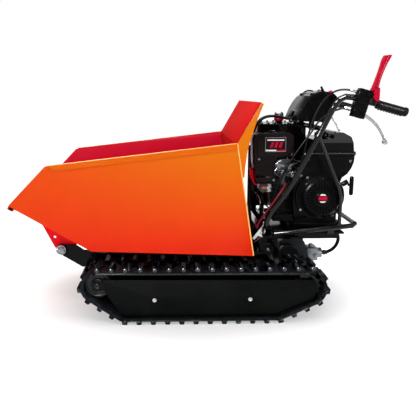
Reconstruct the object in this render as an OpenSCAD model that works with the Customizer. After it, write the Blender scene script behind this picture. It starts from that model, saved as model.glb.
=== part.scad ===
// Power wheelbarrow: tracked mini dumper with a front-tipping hopper, an engine on a rear deck and
// walk-behind handlebars. Millimetres. +X points to the handlebars, +Z up, origin at the middle of
// the footprint on the ground. The side at -Y is the left side of the machine.

/* [Hopper] */
// outside width of the hopper
hopper_w = 650; // [560:5:690]
// sheet thickness of the hopper
sheet = 4; // [3:0.5:6]
// height of the rim around the hopper
rim_h = 22; // [12:1:30]
// how far the hopper tips forward, degrees
tip_max = 55; // [30:1:60]

/* [Tracks] */
// overall width over both tracks
over_w = 700; // [640:5:760]
// width of one rubber track
track_w = 180; // [150:5:200]
// thickness of the rubber belt
belt_t = 15; // [12:1:18]
// height of a tread lug
lug_h = 13; // [8:1:18]
// spacing of the lugs along the belt
link_pitch = 60; // [50:1:72]

/* [Handlebars] */
// radius of the handlebar tube
bar_r = 12.5; // [10:0.5:16]
// radius of a rubber grip
grip_r = 17; // [15:0.5:20]
// lengthwise slope of the grips, degrees
grip_fall = 15.2; // [8:0.2:20]

/* [Engine] */
// radius of the recoil starter cover
recoil_r = 98; // [85:1:110]
// number of cooling slots around the recoil cover
slot_count = 30; // [20:1:36]

/* [Hidden] */
hw = hopper_w / 2;
out = over_w / 2;
inn = out - track_w;
fine = 64;

// track wheels: [x, z, radius of the belt's outer face around it]
idler = [-462, 167, 70];
front_roller = [-346, lug_h + 55, 55];
rear_roller = [297, lug_h + 55, 55];
sprocket = [426, 152, 77];
wheels = [idler, front_roller, rear_roller, sprocket];
run_gap = 0.5;                                  // wheels run this far inside the belt
guide_w = 26;                                   // width of the belt's inner guide lugs
guide_h = 18;

// pivot of the hopper, and the ram's lower and upper pins
tip_x = -646;
tip_z = 272;
ram_x = tip_x + 760;
ram_z = tip_z - 190;
lift_x = tip_x + 360;
lift_z = tip_z - 45;
ram_len = norm([lift_x - ram_x, lift_z - ram_z]);
ram_tilt = atan2(lift_z - ram_z, ram_x - lift_x);

crank = [506, 511];                             // engine crankshaft, x and z
input = [392, 217];                             // gearbox input shaft, x and z
pulley_r = 42;
belt_y = 135;                                   // middle of the drive belt

// ---- helpers ----

// extrude an outline drawn in X and Z from y0 to y1
module slab(y0, y1) {
    translate([0, y1, 0]) rotate([90, 0, 0]) linear_extrude(height = y1 - y0) children();
}

// round bar along Y at x, z
module shaft(x, z, y0, y1, r, fn = fine) {
    translate([x, y1, z]) rotate([90, 0, 0]) cylinder(h = y1 - y0, r = r, $fn = fn);
}

// box given by its two corners
module block(a, b) {
    translate(a) cube([b[0] - a[0], b[1] - a[1], b[2] - a[2]]);
}

// round bar between two points
module bar(p, q, r) {
    d = q - p;
    translate(p) rotate([0, acos(d[2] / norm(d)), atan2(d[1], d[0])])
        cylinder(h = norm(d), r = r, $fn = 24);
}

// bent round bar through a list of points, with a slightly fuller ball at each bend
module tube(pts, r) {
    last = len(pts) - 2;
    for (i = [0 : last]) {
        e = 0.2 * r * (pts[i + 1] - pts[i]) / norm(pts[i + 1] - pts[i]);
        bar(pts[i] + (i > 0 ? e : [0, 0, 0]), pts[i + 1] - (i < last ? e : [0, 0, 0]), r);
    }
    for (i = [1 : last]) translate(pts[i]) sphere(r = 1.03 * r, $fn = 24);
}

function unit(v) = v / norm(v);
function along(p, i) = unit(p[min(i + 1, len(p) - 1)] - p[max(i - 1, 0)]);

// cable or hose swept along a smooth list of points that never runs along Y
module sweep(p, r, n = 8) {
    m = len(p);
    polyhedron(
        points = [for (i = [0 : m - 1]) let (t = along(p, i), u = unit(cross(t, [0, 1, 0])), v = cross(t, u))
            for (k = [0 : n - 1]) p[i] + r * (cos(k * 360 / n) * u + sin(k * 360 / n) * v)],
        faces = concat([[for (k = [0 : n - 1]) k]], [[for (k = [n - 1 : -1 : 0]) (m - 1) * n + k]],
            [for (i = [0 : m - 2]) for (k = [0 : n - 1]) for (f = [0, 1])
                let (a = i * n + k, b = i * n + (k + 1) % n) f == 0 ? [a, a + n, b + n] : [a, b + n, b]]));
}

// both sides of the machine
module both() {
    children();
    mirror([0, 1, 0]) children();
}

// points of a smooth curve with four control points
function curve(a, b, c, d, n) = [for (i = [0 : n]) let (t = i / n, s = 1 - t)
    s * s * s * a + 3 * s * s * t * b + 3 * s * t * t * c + t * t * t * d];

function flip(p) = [p[0], -p[1], p[2]];
function polar(c, r, a) = [c[0] + r * cos(a), c[1] + r * sin(a)];
function turned(c, p, a) = [c[0] + p[0] * cos(a) - p[1] * sin(a), c[1] + p[0] * sin(a) + p[1] * cos(a)];

// ---- belt path ----

function nxt(i) = (i + 1) % 4;
function prv(i) = (i + 3) % 4;
function gap(i) = [wheels[nxt(i)][0] - wheels[i][0], wheels[nxt(i)][1] - wheels[i][1]];
// direction of the outward normal of the straight run after wheel i
function face(i) = atan2(gap(i)[1], gap(i)[0]) - acos((wheels[i][2] - wheels[nxt(i)][2]) / norm(gap(i)));
function wrap(i) = let (s = face(i) - face(prv(i))) s - 360 * floor(s / 360);
function arc_len(i) = wrap(i) * wheels[i][2] * PI / 180;
function run_len(i) = sqrt(pow(norm(gap(i)), 2) - pow(wheels[i][2] - wheels[nxt(i)][2], 2));
function sum_to(n) = n <= 0 ? 0 : sum_to(n - 1) + arc_len(n - 1) + run_len(n - 1);
belt_len = sum_to(4);
links = round(belt_len / link_pitch);
pitch = belt_len / links;

// wheel whose arc or following run holds the distance s along the belt
function leg(s) = s < sum_to(1) ? 0 : s < sum_to(2) ? 1 : s < sum_to(3) ? 2 : 3;
function belt_at(s0, h) = let (s = s0 - belt_len * floor(s0 / belt_len), i = leg(s), u = s - sum_to(i),
    w = wheels[i], on_arc = u < arc_len(i), a = face(prv(i)) + (on_arc ? u / w[2] * 180 / PI : wrap(i)),
    p = polar(w, w[2] + h, a)) on_arc ? p : [p[0] - (u - arc_len(i)) * sin(a),
        p[1] + (u - arc_len(i)) * cos(a)];
function bends(s0) = let (s = s0 - belt_len * floor(s0 / belt_len), i = leg(s)) s - sum_to(i) < arc_len(i);

// belt outline with lugs standing out by h, shifted by a part of the pitch
function lug_outline(h, shift) = [for (k = [0 : links - 1]) let (s = (k + shift) * pitch)
    for (q = [[-13, 0], [-8.5, h], [8.5, h], [13, 0], [21, 0], [29.5, 0], [38, 0]])
        if (abs(q[0]) < 14 || bends(s + q[0])) belt_at(s + q[0], q[1])];
function plain_outline(h) = [for (i = [0 : 3]) for (t = [0 : 1 / ceil(wrap(i) / 7) : 1.001])
    polar(wheels[i], wheels[i][2] + h, face(prv(i)) + wrap(i) * t)];

module track() {
    mid = out - track_w / 2;
    g = guide_w / 2;
    slab(-out, -mid - g) difference() {
        polygon(lug_outline(lug_h, 0));
        polygon(plain_outline(-belt_t));
    }
    slab(-mid - g, -mid + g) difference() {
        polygon(plain_outline(0));
        polygon(plain_outline(-belt_t));
    }
    slab(-mid + g, -inn) difference() {
        polygon(lug_outline(lug_h, 0.5));
        polygon(plain_outline(-belt_t));
    }
    for (k = [0 : links - 1]) {
        p = belt_at(k * pitch, -belt_t);
        q = belt_at(k * pitch, 0);
        translate([p[0], -mid, p[1]]) rotate([0, -atan2(q[1] - p[1], q[0] - p[0]), 0])
            translate([-guide_h, -g + 2, -9]) cube([guide_h + 2, guide_w - 4, 18]);
    }
}

module wheel_pair(c, r, hub_r, axle_r, dish) {
    mid = out - track_w / 2;
    difference() {
        union() {
            shaft(c[0], c[1], -mid - 58, -mid - 17, r);
            shaft(c[0], c[1], -mid + 17, -mid + 58, r);
            shaft(c[0], c[1], -mid - 62, -mid + 62, hub_r);
        }
        shaft(c[0], c[1], -mid - 63, -mid + 63, axle_r + 0.05);
        for (s = [-1, 1]) difference() {
            shaft(c[0], c[1], -mid + s * 58 - dish, -mid + s * 58 + dish, r - 8);
            shaft(c[0], c[1], -mid - 64, -mid + 64, hub_r);
        }
    }
}

module track_frame() {
    mid = out - track_w / 2;
    difference() {
        union() {
            slab(-inn - 16, -inn - 10) polygon([[-437, 190], [438, 182], [448, 120], [430, 104], [274, 36],
                [-350, 36], [-372, 52], [-432, 140]]);
            difference() {
                block([-398, -out + 20, 122], [346, -inn - 16, 172]);
                block([-393, -out + 25, 127], [341, -inn - 21, 167]);
            }
        }
        shaft(sprocket[0], sprocket[1], -out, -inn, 24);
    }
    for (x = [-224, 178]) shaft(x, 108, -out + 20, -inn - 16, 13);
    for (c = [front_roller, rear_roller]) shaft(c[0], c[1], -out + 20, -inn - 16, 10);
    for (y = [-out + 20, -inn - 26]) difference() {
        block([idler[0] - 24, y, 146], [-398, y + 8, 188]);
        shaft(idler[0], idler[1], y - 1, y + 9, 11);
    }
    shaft(idler[0], idler[1], -out + 14, -inn - 16, 12);
}

module track_cover() {
    difference() {
        slab(-out + 14, -out + 20) polygon([[-437, 194], [440, 186], [455, 180], [464, 166], [463, 136],
            [452, 108], [436, 97], [278, 34], [-352, 34], [-372, 50], [-430, 140], [-437, 158]]);
        shaft(idler[0], idler[1], -out, -out + 30, 26);
    }
    for (x = [-224, 178]) {
        shaft(x, 108, -out + 11, -out + 14, 13);
        shaft(x, 108, -out + 4, -out + 11, 9, 6);
    }
}

module sprocket_wheel() {
    mid = out - track_w / 2;
    tip = sprocket[2] - belt_t - run_gap;
    teeth = 12;
    profile = [for (k = [0 : teeth - 1]) for (q = [[-9, 50], [-4, tip], [4, tip], [9, 50]])
        polar([sprocket[0], sprocket[1]], q[1], k * 360 / teeth + q[0])];
    for (y = [-mid - 58, -mid + 46]) slab(y, y + 12) difference() {
        polygon(profile);
        for (k = [0 : 5]) translate(polar([sprocket[0], sprocket[1]], 35, k * 60 + 15)) circle(r = 7,
            $fn = 32);
    }
    shaft(sprocket[0], sprocket[1], -mid - 62, -mid + 62, 24);
    shaft(sprocket[0], sprocket[1], -mid - 68, -4, 15);
}

// ---- chassis ----

module rail() {
    difference() {
        block([-560, -145, 190], [300, -95, 250]);
        block([-554, -141, 194], [294, -99, 246]);
    }
    // arm that carries the hopper pivot
    difference() {
        slab(-158, -145) {
            polygon([[-659, 254], [-636, 292], [-584, 292], [-540, 262], [-440, 250], [-440, 190],
                [-555, 190]]);
            translate([tip_x, tip_z]) circle(r = 22, $fn = fine);
        }
        shaft(tip_x, tip_z, -160, -140, 14);
    }
    // upright that carries the deck and a handlebar
    block([245, -135, 250], [285, -95, 345]);
}

module rail_left() { color([0.03, 0.03, 0.03]) rail(); }
module rail_right() { color([0.03, 0.03, 0.03]) mirror([0, 1, 0]) rail(); }

module cross_members() {
    color([0.03, 0.03, 0.03]) {
        for (x = [-356, 250]) difference() {
            block([x, -inn - 10, 134], [x + 50, inn + 10, 190]);
            block([x + 5, -inn - 11, 139], [x + 45, inn + 11, 185]);
        }
        difference() {
            block([152, -inn - 10, 56], [200, inn + 10, 106]);
            block([157, -inn - 11, 61], [195, inn + 11, 101]);
        }
        both() difference() {
            slab(-46, -34) {
                polygon([[ram_x - 8, 62], [156, 60], [156, 104], [ram_x - 8, 102]]);
                translate([ram_x, ram_z]) circle(r = 24, $fn = fine);
            }
            shaft(ram_x, ram_z, -50, -30, 12);
        }
        shaft(ram_x, ram_z, -50, 50, 12);
        // seat of the rest pads
        block([252, -95, 236], [285, 95, 250]);
        block([120, -95, 236], [150, 95, 250]);
        both() block([150, -95, 236], [252, -75, 250]);
    }
}

module rest_pads() {
    color([0.02, 0.02, 0.02]) both() {
        slab(-90, -55) polygon([[122, 250], [148, 250], [148, 292.2], [122, 293.2]]);
    }
}

module pivot_pins() {
    color([0.8, 0.8, 0.82]) both() {
        shaft(tip_x, tip_z, -172, -122, 14);
        difference() {
            shaft(tip_x, tip_z, -168, -158, 22);
            shaft(tip_x, tip_z, -169, -165, 18);
        }
        bar([tip_x - 30, -170, tip_z + 12], [tip_x + 20, -170, tip_z - 7], 2.2);
        bar([tip_x - 30, -170, tip_z + 4], [tip_x, -170, tip_z], 2.2);
    }
}

module frame_left() { color([0.03, 0.03, 0.03]) track_frame(); }
module frame_right() { color([0.03, 0.03, 0.03]) mirror([0, 1, 0]) track_frame(); }
module cover_left() { color([0.05, 0.05, 0.05]) track_cover(); }
module cover_right() { color([0.05, 0.05, 0.05]) mirror([0, 1, 0]) track_cover(); }
module track_left() { color([0.03, 0.03, 0.035]) track(); }
module track_right() { color([0.03, 0.03, 0.035]) mirror([0, 1, 0]) track(); }
module sprocket_left() { color([0.15, 0.15, 0.16]) sprocket_wheel(); }
module sprocket_right() { color([0.15, 0.15, 0.16]) mirror([0, 1, 0]) sprocket_wheel(); }

module idler_wheel() { wheel_pair(idler, idler[2] - belt_t - run_gap, 26, 12, 9); }
module idler_left() { color([0.1, 0.1, 0.1]) idler_wheel(); }
module idler_right() { color([0.1, 0.1, 0.1]) mirror([0, 1, 0]) idler_wheel(); }

module roller(c) { wheel_pair(c, c[2] - belt_t - run_gap, 19, 10, 5); }
module roller_left_front() { color([0.1, 0.1, 0.1]) roller(front_roller); }
module roller_left_rear() { color([0.1, 0.1, 0.1]) roller(rear_roller); }
module roller_right_front() { color([0.1, 0.1, 0.1]) mirror([0, 1, 0]) roller(front_roller); }
module roller_right_rear() { color([0.1, 0.1, 0.1]) mirror([0, 1, 0]) roller(rear_roller); }

// ---- hopper ----

// outline of a side plate: lip, floor, rear edge, top edge
side_line = [[-786, 494], [-484, 316], [191, 291], [115, 761], [-658, 672], [-811, 514], [-790, 502]];
wing_line = [[132, 622], [146.5, 622], [149, 667], [158.5, 739], [178.6, 811], [195, 860], [218, 920],
    [209, 924], [116.5, 763], [104, 740]];
// slope of the top edge
top_rise = (761 - 672) / (115 + 658);

function top_at(x) = 672 + (x + 658) * top_rise;
module hopper_side() {
    slab(-hw, -hw + sheet) polygon(side_line);
    slab(-hw + sheet, -hw + 2 * sheet) polygon(wing_line);
    // folded rim outside the top edge
    slab(-hw - 6, -hw) polygon([[-625, top_at(-625) - rim_h], [-648, top_at(-648) + 3], [113,
        top_at(113) + 3],
        [116, top_at(113) - rim_h]]);
    slab(-hw - 1, -hw + sheet) polygon([[-648, top_at(-648) - 3], [-648, top_at(-648) + 3],
        [113, top_at(113) + 3], [113, top_at(113) - 3]]);
}
module hopper_side_left() { color([0.93, 0.32, 0.07]) hopper_side(); }
module hopper_side_right() { color([0.93, 0.32, 0.07]) mirror([0, 1, 0]) hopper_side(); }

module hopper_floor() {
    w = hw - sheet;
    color([0.85, 0.1, 0.08]) {
        slab(-w, w) polygon([[-789.5, 496], [-484, 316], [191, 291], [190.4, 295], [-483, 320],
            [-787.5, 499.5]]);
        // cross ribs under the flat floor, and under the slope
        for (x = [-180, -60, 60]) block([x - 4, -190, 276], [x + 4, 190, 306 - 0.037 * (x + 180)]);
    }
}

module hopper_lip() {
    color([0.93, 0.32, 0.07]) difference() {
        slab(-hw + sheet, hw - sheet)
            polygon([[-813, 512], [-790, 500], [-799, 485], [-820, 497]]);
        both() slab(-hw - 1, -hw + sheet + 3)
            polygon([[-810, 506.5], [-793.5, 498], [-799.5, 488.5], [-815, 496.5]]);
    }
}

module hopper_rear_wall() {
    w = hw - 2 * sheet;
    color([0.85, 0.1, 0.1]) {
        slab(-w, w) polygon([[186, 295.4], [190.2, 295.2], [115, 761], [209, 924], [205, 926],
            [110.6, 761]]);
        slab(-w, w) polygon([[205, 926], [218, 921], [216, 917], [207, 920]]);
        for (y = [-150, 150]) slab(y - 3, y + 3) polygon([[115, 761], [209, 924], [196, 880], [170, 800],
            [150, 740], [142, 660], [134.5, 640]]);
    }
}

module hopper_brackets() {
    color([0.85, 0.06, 0.12]) both() {
        // hinge plate under the slope
        difference() {
            slab(-142, -134) {
                polygon([[-777, 479], [-671, 262], [-660, 252], [-632, 252], [-580, 290], [-484, 315.9]]);
                translate([tip_x, tip_z]) circle(r = 24, $fn = fine);
            }
            shaft(tip_x, tip_z, -145, -130, 14.05);
            shaft(-677, 325, -145, -130, 6);
        }
        // ram bracket under the floor
        difference() {
            slab(-36, -26) polygon([[lift_x - 60, 310.8], [lift_x - 26, lift_z - 14], [lift_x - 10,
                lift_z - 24],
                [lift_x + 10, lift_z - 24], [lift_x + 26, lift_z - 14], [lift_x + 60, 306.3]]);
            shaft(lift_x, lift_z, -40, -30, 8);
        }
    }
}

// ---- ram ----

// place along the ram: s from the lower pin towards the upper pin
module along_ram(s) {
    translate([ram_x, 0, ram_z]) rotate([0, ram_tilt - 90, 0]) translate([0, 0, s]) children();
}

module ram_barrel() {
    color([0.04, 0.04, 0.04]) difference() {
        union() {
            shaft(ram_x, ram_z, -28, 28, 24);
            along_ram(12) cylinder(h = 328, r = 30, $fn = fine);
            along_ram(318) cylinder(h = 24, r = 34, $fn = fine);
            along_ram(60) translate([-36, 0, 0]) rotate([0, 90, 0]) cylinder(h = 12, r = 9, $fn = 32);
        }
        shaft(ram_x, ram_z, -30, 30, 12.05);
        along_ram(40) cylinder(h = 290, r = 25.05, $fn = fine);
        along_ram(300) cylinder(h = 60, r = 15.05, $fn = fine);
    }
}

module ram_rod() {
    color([0.75, 0.75, 0.78]) {
        along_ram(46) cylinder(h = ram_len - 66, r = 15, $fn = fine);
        along_ram(46) cylinder(h = 16, r = 25, $fn = fine);
        shaft(lift_x, lift_z, -22, 22, 23);
        shaft(lift_x, lift_z, -25.6, 25.6, 12);
    }
}

// ---- drive ----

module gearbox() {
    color([0.2, 0.21, 0.22]) difference() {
        union() {
            slab(-60, 60) polygon([[352, 176], [364, 258], [380, 282], [452, 286], [478, 268], [500, 196],
                [500, 150], [470, 112], [396, 106], [362, 134]]);
            slab(-72, 72) polygon([[386, 112], [466, 116], [488, 152], [478, 196], [392, 190], [368, 150]]);
            slab(-75, 75) translate(input) circle(r = 34, $fn = fine);
            both() shaft(sprocket[0], sprocket[1], -inn - 8, -72, 21);
            // mount to the deck beams
            block([400, -60, 270], [470, 60, 300]);
            for (a = [0 : 60 : 300]) both() translate([input[0], 0, input[1]])
                shaft(27 * cos(a), 27 * sin(a), -79, -75, 4, 6);
        }
        shaft(sprocket[0], sprocket[1], -200, 200, 15.05);
        shaft(input[0], input[1], -80, 80, 12.05);
    }
}

module input_shaft() {
    color([0.1, 0.1, 0.1]) {
        shaft(input[0], input[1], -112, belt_y + 14, 12);
        difference() {
            shaft(input[0], input[1], -112, -88, 50);
            shaft(input[0], input[1], -113, -106, 42);
        }
        shaft(input[0], input[1], -112, -104, 20);
        pulley(input);
    }
}

// grooved pulley on the belt line
module pulley(c) {
    difference() {
        shaft(c[0], c[1], belt_y - 13, belt_y + 13, pulley_r);
        for (k = [0 : 5]) translate([c[0], 0, c[1]]) rotate([0, k * 60, 0])
            shaft(26, 0, belt_y - 20, belt_y + 20, 5);
        translate([c[0], belt_y, c[1]]) rotate([90, 0, 0]) rotate_extrude($fn = fine)
            polygon([[pulley_r - 9, -4.8], [pulley_r + 1, -7], [pulley_r + 1, 7], [pulley_r - 9, 4.8]]);
    }
}

module crank_pulley() {
    color([0.5, 0.5, 0.52]) {
        pulley(crank);
        shaft(crank[0], crank[1], 40, belt_y + 16, 12.5);
    }
}

// outline around both pulleys at radius r
function belt_line(r) = let (d = input - crank, a = atan2(d[1], d[0])) concat(
    [for (t = [-90 : 6 : 90]) polar(input, r, a + t)], [for (t = [90 : 6 : 270]) polar(crank, r, a + t)]);
module drive_belt() {
    color([0.02, 0.02, 0.02]) slab(belt_y - 4.5, belt_y + 4.5) difference() {
        polygon(belt_line(pulley_r - 0.5));
        polygon(belt_line(pulley_r - 7.5));
    }
}

function guard_line(w, low) = concat([for (t = [-30 : 7.5 : 195]) polar(crank, 66 - w, t)],
    [[388 + w, low], [540 - w, low]]);
module belt_guard() {
    color([0.03, 0.03, 0.03]) difference() {
        slab(112, 162) polygon(guard_line(0, 348));
        slab(108, 158) polygon(guard_line(4, 340));
        for (k = [0 : 4]) slab(150, 170) translate([crank[0] - 36, crank[1] - 42 + 20 * k]) square([72, 8]);
    }
}

module hydraulic_pump() {
    color([0.65, 0.65, 0.66]) {
        block([500, -34, 166], [552, 34, 226]);
        translate([552, 0, 196]) rotate([0, 90, 0]) cylinder(h = 24, r = 24, $fn = fine);
        translate([526, 0, 226]) cylinder(h = 14, r = 11, $fn = 6);
        translate([540, -34, 190]) rotate([90, 0, 0]) cylinder(h = 12, r = 11, $fn = 6);
    }
}

// ---- deck and handlebars ----

module engine_deck() {
    color([0.03, 0.03, 0.03]) {
        difference() {
            union() {
                both() block([285, -112, 300], [620, -70, 340]);
                block([290, -178, 340], [622, 178, 348]);
            }
            both() block([280, -108, 304], [624, -74, 336]);
            block([388, 112, 330], [520, 162, 360]);
            for (x = [300, 580]) both() translate([x, -165, 330]) cylinder(h = 30, r = 5, $fn = 32);
        }
        // beam that ties the handlebars to the uprights
        difference() {
            block([245, -232, 345], [285, 232, 385]);
            block([249, -233, 349], [281, 233, 381]);
        }
        both() block([285, -112, 340], [290, -70, 348]);
    }
}

rail_low = [297, -214, 353.2];
rail_mid = [640, -214, 388];
rail_end = [661, -190, 391];
module deck_rail() {
    color([0.03, 0.03, 0.03]) {
        tube([rail_low, rail_mid, rail_end, flip(rail_end), flip(rail_mid), flip(rail_low)], 11);
        both() {
            block([536, -206, 348], [566, -164, 353]);
            block([536, -208, 348], [566, -204, 380]);
        }
    }
}

grip_dir = [cos(grip_fall), 0, -sin(grip_fall)];
grip_end = [816, -281, 883];
function on_grip(s) = grip_end - s * grip_dir;
bar_path = concat([[262, -214, 380], [264, -214, 416], [284, -215, 456], [335, -222, 526], [372, -228, 590],
    [464, -243, 781]], curve([518, -254, 900], [532, -258, 930], [546, -270, 956], on_grip(238), 4),
    [on_grip(2)]);
stay_path = [[470, -245, 778], [560, -238, 572], [578, -228, 524], [582, -222, 480], [584, -214, 396]];

module handlebar() {
    tube(bar_path, bar_r);
    tube(stay_path, 8);
    block([572, -222, 378], [596, -206, 397]);
}
module handlebar_left() {
    color([0.03, 0.03, 0.03]) {
        difference() {
            handlebar();
            bars_clear();
        }
        // cross tube under the console
        bar([478, -236, 815], [478, 0, 815], 11);
        bar([350, -224, 552], [350, -210, 552], 8);
    }
}
module handlebar_right() {
    color([0.03, 0.03, 0.03]) {
        difference() {
            mirror([0, 1, 0]) handlebar();
            mirror([0, 1, 0]) bars_clear();
        }
        bar([478, 0, 815], [478, 236, 815], 11);
    }
}
// flat cuts where the tubes stand on the beam and on the deck rail
module bars_clear() {
    block([200, -300, 300], [300, -100, 385]);
    tube([rail_low, rail_mid], 11);
}

// clamp block that carries the levers: s along the bar, h square to it
module at_clamp() {
    translate(on_grip(196)) rotate([0, grip_fall, 0]) children();
}

module clamp_one() {
    at_clamp() difference() {
        union() {
            translate([-26, -20, -74]) cube([50, 40, 116]);
            translate([-30, -17, -30]) cube([4, 34, 50]);
            translate([24, -14, -12]) cube([26, 4, 46]);
            translate([24, 10, -12]) cube([26, 4, 46]);
            translate([-34, 6, 26]) rotate([0, 90, 0]) cylinder(h = 10, r = 7, $fn = 32);
            translate([-34, 6, -46]) rotate([0, 90, 0]) cylinder(h = 10, r = 7, $fn = 32);
            for (z = [-52, 26]) translate([8, -20, z]) rotate([90, 0, 0]) cylinder(h = 6, r = 6, $fn = 6);
        }
        translate([-40, 0, 0]) rotate([0, 90, 0]) cylinder(h = 120, r = bar_r, $fn = 24);
        // slot for the steering lever
        translate([-6, -7.5, -80]) cube([60, 15, 45]);
        translate([-27, -21, -21]) cube([52, 3, 4]);
        translate([-27, -21, 18]) cube([52, 3, 3]);
        translate([40, -30, 24]) rotate([-90, 0, 0]) cylinder(h = 60, r = 5, $fn = fine);
        translate([8, -30, -52]) rotate([-90, 0, 0]) cylinder(h = 60, r = 5, $fn = fine);
        translate([0, 19, 30]) cube([30, 30, 30], center = true);
        // room for the foot of the clutch lever
        translate([10, -10.5, 20]) cube([20, 21, 30]);
    }
    at_clamp() {
        translate([8, -20, -52]) rotate([-90, 0, 0]) cylinder(h = 40, r = 5, $fn = fine);
        translate([40, -14, 24]) rotate([-90, 0, 0]) cylinder(h = 28, r = 5, $fn = fine);
    }
}
module lever_clamps() { color([0.04, 0.04, 0.04]) both() clamp_one(); }

module grip_one() {
    g = 134;
    difference() {
        translate(on_grip(g)) rotate([0, 90 + grip_fall, 0]) {
            cylinder(h = g - 4, r = grip_r, $fn = fine);
            cylinder(h = 6, r = grip_r + 2.5, $fn = fine);
            translate([0, 0, g - 14]) cylinder(h = 10, r = grip_r + 2, $fn = fine);
            translate([0, 0, g - 4]) cylinder(h = 4, r = grip_r - 2, $fn = fine);
            for (k = [0 : 8]) translate([grip_r - 1, -7, 14 + 12 * k]) cube([4, 14, 5]);
        }
        translate(on_grip(g + 1)) rotate([0, 90 + grip_fall, 0]) cylinder(h = g - 1, r = bar_r, $fn = 24);
    }
}
module grips() { color([0.02, 0.02, 0.02]) both() grip_one(); }

// pivot points of the levers on the clamp
clutch_at = [on_grip(196)[0] + 40 * cos(grip_fall) + 24 * sin(grip_fall),
    on_grip(196)[2] - 40 * sin(grip_fall) + 24 * cos(grip_fall)];
steer_at = [on_grip(196)[0] + 8 * cos(grip_fall) - 52 * sin(grip_fall),
    on_grip(196)[2] - 8 * sin(grip_fall) - 52 * cos(grip_fall)];

module clutch_lever() {
    color([0.8, 0.03, 0.18]) difference() {
        slab(-290.5, -271.5) {
            polygon([[clutch_at[0] - 9, clutch_at[1] + 2], [656, 970], [664, 985], [674, 1014], [684, 1045],
                [691, 1072], [696, 1092], [704, 1110], [732, 1113], [730, 1104], [718, 1082],
                [710, 1064], [701, 1040], [693, 1014], [688, 990], [clutch_at[0] + 14, 964],
                [clutch_at[0] + 12, 942], [clutch_at[0] + 7, clutch_at[1] - 6]]);
            translate(clutch_at) circle(r = 9.5, $fn = fine);
        }
        shaft(clutch_at[0], clutch_at[1], -300, -260, 5.05);
    }
}

// flattened blade that thins towards its ball end
blade = curve([steer_at[0], steer_at[1]], [672, 856], [712, 824], [731, 764], 10);
function side_of(k, w) = let (a = blade[max(k - 1, 0)], b = blade[min(k + 1, 10)], d = (b - a) / norm(b - a))
    blade[k] + w * [-d[1], d[0]];
module steering_lever() {
    difference() {
        union() {
            slab(-286, -276) polygon(concat([for (k = [0 : 10]) side_of(k, 7 - 0.25 * k)],
                [for (k = [10 : -1 : 0]) side_of(k, 0.25 * k - 7)]));
            shaft(steer_at[0], steer_at[1], -287, -275, 9);
            shaft(731, 762, -288, -274, 10);
        }
        shaft(steer_at[0], steer_at[1], -295, -270, 5.05);
    }
}
module steering_lever_left() { color([0.85, 0.85, 0.87]) steering_lever(); }
module steering_lever_right() { color([0.85, 0.85, 0.87]) mirror([0, 1, 0]) steering_lever(); }

throttle_at = [on_grip(196)[0] + 8, on_grip(196)[2] + 20];
module throttle_lever() {
    color([0.03, 0.03, 0.03]) {
        shaft(throttle_at[0], throttle_at[1], 247, 260.9, 9);
        slab(247, 253) polygon([[throttle_at[0] - 5, throttle_at[1]], [throttle_at[0] - 24,
            throttle_at[1] + 40],
            [throttle_at[0] - 15, throttle_at[1] + 44], [throttle_at[0] + 6, throttle_at[1] + 4]]);
    }
}

// ferrule ends on the clamp, upper and lower
upper_end = on_grip(196) + [-34 * cos(grip_fall) + 26 * sin(grip_fall), 6,
    34 * sin(grip_fall) + 26 * cos(grip_fall)];
lower_end = on_grip(196) + [-34 * cos(grip_fall) - 46 * sin(grip_fall), 6,
    34 * sin(grip_fall) - 46 * cos(grip_fall)];
upper_from = upper_end + [-2.5, 0, 0.7];
lower_from = lower_end + [-2.5, 0, 0.7];
module control_cables() {
    color([0.04, 0.04, 0.04]) both() {
        sweep(concat(curve(upper_from, upper_from + [-44, 2, 11], [525, -224, 985], [488, -206, 925], 10),
            curve([486, -205, 921], [458, -192, 875], [440, -196, 820], [418, -200, 700], 8),
            curve([416, -200, 692], [382, -200, 560], [262, -196, 480], [256, -192, 388], 8)), 4);
        sweep(concat(curve(lower_from, lower_from + [-32, 8, 8], [503, -216, 884], [461, -206, 826], 10),
            curve([459.5, -206, 822], [440, -202, 772], [300, -190, 640], [274, -186, 388], 10)), 4);
        bar(upper_from, upper_from + [-20, 1, 5], 6);
        bar(lower_from, lower_from + [-20, 4, 5], 6);
        // nipples on the tie beam
        bar([256, -192, 385.2], [256, -192, 402], 6.5);
        bar([274, -186, 385.2], [274, -186, 402], 6.5);
    }
}

// ---- engine ----

module crankcase() {
    color([0.1, 0.1, 0.105]) difference() {
        union() {
            slab(-104, 96) polygon([[428, 380], [436, 560], [456, 586], [560, 586], [592, 560], [608, 470],
                [606, 380]]);
            slab(96, 110) translate(crank) circle(r = 60, $fn = fine);
            block([412, -112, 348], [622, 104, 380]);
            // barrel side of the block, with its fins, clear of the cylinder head above
            difference() {
                union() {
                    slab(-78, 62) polygon([[430, 400], [352, 404], [322, 424], [304, 470], [302, 512],
                        [330, 540], [430, 560]]);
                    for (k = [0 : 3]) slab(-84, 68) polygon([[430, 416 + 20 * k],
                        [318 + 2 * abs(k - 3), 436 + 14 * k], [318 + 2 * abs(k - 3), 440 + 14 * k],
                        [430, 421 + 20 * k]]);
                }
                translate([428, 0, 548]) rotate([0, -65, 0]) translate([-68, -100, -1]) cube([160, 200,
                    200]);
                block([420, -100, 486], [440, 80, 600]);
            }
            // starter bracket and sump front
            block([316, -96, 380], [430, -30, 412]);
            for (x = [420, 600]) for (y = [-102, 90]) translate([x, y, 380]) cylinder(h = 8, r = 8, $fn = 6);
            // oil drain and filler
            translate([400, -60, 372]) rotate([0, 90, 0]) cylinder(h = 14, r = 9, $fn = 6);
            translate([608, -70, 420]) rotate([0, 60, 0]) cylinder(h = 30, r = 13, $fn = 32);
        }
        shaft(crank[0], crank[1], 30, 120, 12.55);
    }
}

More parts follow.
